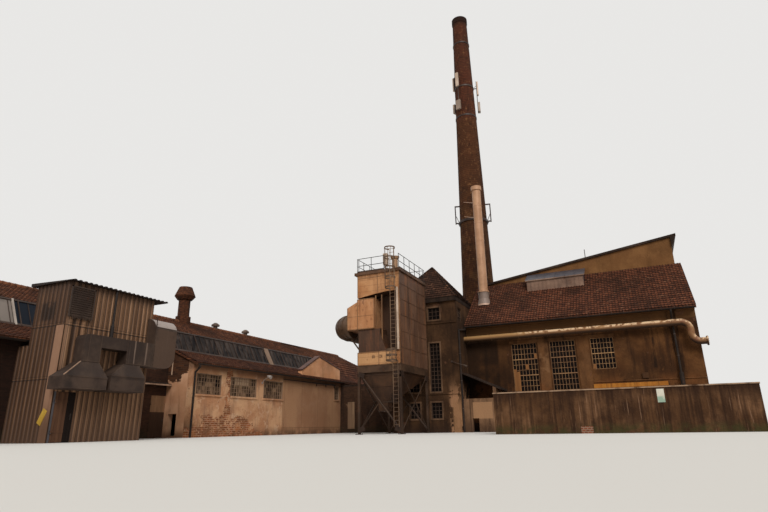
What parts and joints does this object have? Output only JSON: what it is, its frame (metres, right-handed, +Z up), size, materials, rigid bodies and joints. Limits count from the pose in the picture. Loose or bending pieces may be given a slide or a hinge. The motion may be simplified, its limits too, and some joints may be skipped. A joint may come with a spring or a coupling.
{
  "type": "scale model of a factory building, 1:2",
  "caption": "Old brick factory at 1:2: tiled boiler house, tall tapered chimney, stair tower, steel filter tower and a long glazed hall with a ribbed sheet tower.",
  "frame": {"origin": "centre of the underside of the chimney's square base, at ground level", "axes": "+X along the boiler house facade away from the long hall, +Y from the facade back to the rear hall, +Z up"},
  "size_m": [23.765, 25.5, 24.35],
  "materials": {
    "chimney_brick": "weathered brick",
    "dark_render": "sooty cement render",
    "ochre_render": "ochre render",
    "brown_render": "brown render",
    "cream_plaster": "peeling lime plaster",
    "hall_brick": "old red brick",
    "yard_concrete": "streaked concrete",
    "floor_concrete": "worn concrete",
    "roof_tiles": "fired clay tiles",
    "roof_felt": "bitumen felt",
    "dusty_glass": "dusty panes in steel bars",
    "roof_glass": "wired roof glass",
    "grey_steel": "dull zinc and grey paint",
    "flue_steel": "pale painted steel",
    "aerial_paint": "pale grey paint",
    "board_paint": "ochre paint on boards",
    "pipe_cladding": "stained sheet lagging",
    "filter_paint": "beige paint with rust runs",
    "dark_steel": "rusty dark steel",
    "duct_steel": "dark grey sheet steel",
    "ribbed_sheet": "ribbed steel sheet",
    "door_wood": "brown door paint"
  },
  "bodies": {
    "factory": {"chimney_base": "chimney_brick", "chimney_shaft": "chimney_brick", "chimney_hoops": "grey_steel", "aerial_frame": "aerial_paint", "steel_flue": "flue_steel", "boiler_front_wall": "dark_render", "boiler_gable_walls": "dark_render", "party_wall": "ochre_render", "boiler_roof": "roof_tiles", "boiler_windows": "dusty_glass", "facade_board": "board_paint", "roof_monitor": "grey_steel", "steam_pipe": "pipe_cladding", "rain_gutters": "grey_steel", "rear_hall_walls": "ochre_render", "rear_hall_roof": "roof_felt", "stair_front_wall": "brown_render", "stair_rear_walls": "brown_render", "stair_tower_roof": "roof_tiles", "stair_windows": "dusty_glass", "annex_walls": "cream_plaster", "annex_roof": "roof_felt", "filter_casing": "filter_paint", "filter_intake": "filter_paint", "filter_duct": "duct_steel", "filter_hopper": "filter_paint", "filter_frame": "dark_steel", "filter_roof_slab": "dark_steel", "filter_railing": "dark_steel", "filter_ladder": "dark_steel", "ladder_cages": "dark_steel", "link_walls": "hall_brick", "link_roof": "roof_felt", "hall_south_wall": "hall_brick", "hall_recess_wall": "hall_brick", "passage_lintel": "hall_brick", "hall_return_walls": "cream_plaster", "hall_front_wall": "cream_plaster", "hall_rear_walls": "hall_brick", "ground_floors": "floor_concrete", "hall_tiled_roof": "roof_tiles", "hall_glazing": "roof_glass", "hall_windows": "dusty_glass", "cross_gable": "cream_plaster", "gable_coping": "yard_concrete", "ridge_stack": "hall_brick", "ridge_vents": "grey_steel", "lean_to_roof": "roof_felt", "tower_front_sheets": "ribbed_sheet", "tower_side_sheets": "ribbed_sheet", "tower_frame": "dark_steel", "tower_roof": "roof_felt", "tower_louvre": "grey_steel", "exhaust_duct": "duct_steel", "exhaust_hoods": "duct_steel", "yard_walls": "yard_concrete"},
    "tower_leaf": {"tower_door": "door_wood"},
    "passage_leaf": {"passage_door": "door_wood"}
  },
  "joints": [
    {"name": "tower_door_hinge", "type": "hinge", "parent": "factory", "child": "tower_leaf", "pos_m": [-6.166, -18.111, 0.6], "axis": [0, 0, -1], "range_deg": [0, 100]},
    {"name": "passage_door_hinge", "type": "hinge", "parent": "factory", "child": "passage_leaf", "pos_m": [-9.158, -12.399, 0.7], "axis": [0, 0, -1], "range_deg": [0, 95]}
  ]
}
